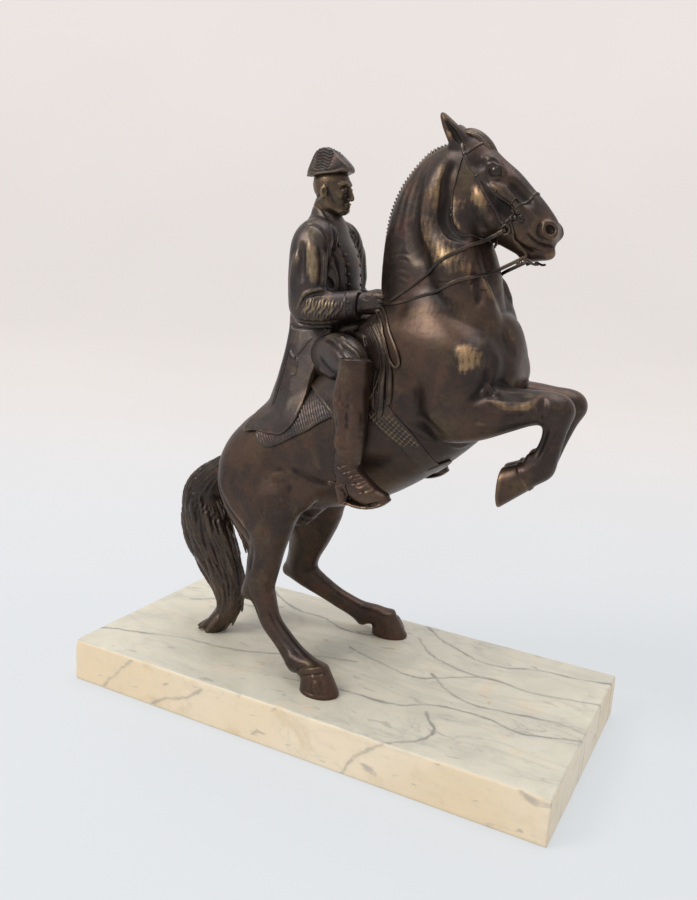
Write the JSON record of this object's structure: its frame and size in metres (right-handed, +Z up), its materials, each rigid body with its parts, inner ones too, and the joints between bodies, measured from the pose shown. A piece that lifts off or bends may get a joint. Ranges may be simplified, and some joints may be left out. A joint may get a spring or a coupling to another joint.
{
  "type": "equestrian statuette",
  "caption": "Bronze statuette of a rider in a two-cornered hat and tailcoat on a horse in the levade, standing on a rectangular marble slab.",
  "frame": {"origin": "centre of the marble slab's underside", "axes": "+Z up, +X along the slab towards the horse's head, +Y towards the horse's left side"},
  "size_m": [0.34, 0.17, 0.3903],
  "materials": {
    "marble": "polished cream marble with grey veins",
    "bronze": "dark brown patinated cast bronze, rubbed golden on the high places"
  },
  "bodies": {
    "root": {"marble_plinth": "marble", "bronze_horse_and_rider": "bronze"}
  },
  "joints": []
}
